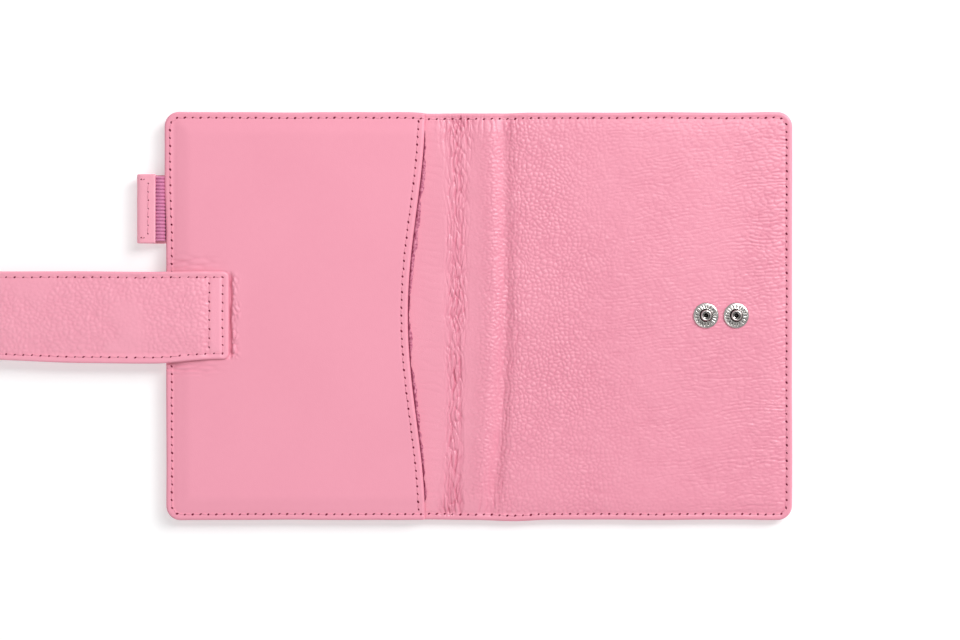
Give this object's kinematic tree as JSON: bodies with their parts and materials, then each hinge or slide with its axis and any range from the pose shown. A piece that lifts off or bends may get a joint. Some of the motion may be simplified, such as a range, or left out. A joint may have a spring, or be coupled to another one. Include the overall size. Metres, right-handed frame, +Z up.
{
  "type": "passport holder",
  "caption": "Folding leather passport holder with an outside slip pocket, a snap strap, a pen loop and sleeves and card slots inside.",
  "frame": {"origin": "middle of the spine at the level of the surface the open holder lies on", "axes": "+X from the spine across the front cover, +Y along the spine, +Z up out of the outside of the cover"},
  "size_m": [0.2822, 0.14, 0.0084],
  "materials": {
    "outer_leather": "pebbled, semi-matt pink",
    "pocket_leather": "finely grained, almost smooth pink",
    "strap_leather": "pebbled, semi-matt pink",
    "lining_leather": "fine matt grain, pink",
    "inner_leather": "fine grain, semi-matt pink",
    "board": "grey board",
    "snap_metal": "bright nickel plate",
    "spring_wire": "drawn wire",
    "elastic": "ribbed woven elastic, mauve pink"
  },
  "bodies": {
    "back_cover": {"outer_leather_back": "outer_leather", "board_back": "board", "lining_back": "lining_leather", "back_pocket_panel": "pocket_leather", "back_pocket_hem": "pocket_leather", "passport_sleeve": "inner_leather", "passport_sleeve_hem": "inner_leather", "quick_pocket": "inner_leather", "quick_pocket_hem": "inner_leather", "strap_anchor_leather": "strap_leather", "strap_anchor_lining": "lining_leather"},
    "spine": {"outer_leather_spine": "outer_leather", "lining_spine": "lining_leather"},
    "front_cover": {"outer_leather_front": "outer_leather", "board_front": "board", "lining_front": "lining_leather", "card_sleeve": "inner_leather", "card_sleeve_hem": "inner_leather", "card_slot_1": "inner_leather", "card_slot_2": "inner_leather", "card_slot_3": "inner_leather", "snap_stud_inner": "snap_metal", "stud_rivet_inner": "snap_metal", "snap_stud_outer": "snap_metal", "stud_rivet_outer": "snap_metal"},
    "strap_root": {"strap_leather_root": "strap_leather", "strap_lining_root": "lining_leather"},
    "strap_bridge": {"strap_leather_bridge": "strap_leather", "strap_lining_bridge": "lining_leather"},
    "strap_tab": {"strap_leather_tab": "strap_leather", "strap_lining_tab": "lining_leather", "snap_cap": "snap_metal", "snap_socket": "snap_metal", "snap_spring": "spring_wire"},
    "pen_loop": {"pen_loop_leather": "outer_leather", "pen_loop_elastic": "elastic"}
  },
  "joints": [
    {"name": "back_crease", "type": "hinge", "parent": "back_cover", "child": "spine", "pos_m": [-0.0085, 0, 0.005], "axis": [0, 1, 0], "range_deg": [0, 90]},
    {"name": "front_crease", "type": "hinge", "parent": "spine", "child": "front_cover", "pos_m": [0.0085, 0, 0.005], "axis": [0, 1, 0], "range_deg": [0, 90]},
    {"name": "strap_lift", "type": "hinge", "parent": "back_cover", "child": "strap_root", "pos_m": [-0.094, 0, 0.0084], "axis": [0, -1, 0], "range_deg": [-150, 0]},
    {"name": "strap_edge_fold", "type": "hinge", "parent": "strap_root", "child": "strap_bridge", "pos_m": [-0.10875, 0, 0.0068], "axis": [0, -1, 0], "range_deg": [0, 90]},
    {"name": "strap_tab_fold", "type": "hinge", "parent": "strap_bridge", "child": "strap_tab", "pos_m": [-0.13045, 0, 0.0068], "axis": [0, -1, 0], "range_deg": [0, 90]},
    {"name": "pen_loop_swing", "type": "hinge", "parent": "back_cover", "child": "pen_loop", "pos_m": [-0.1078, 0.0367, 0.003], "axis": [0, -1, 0], "range_deg": [-25, 25]}
  ]
}
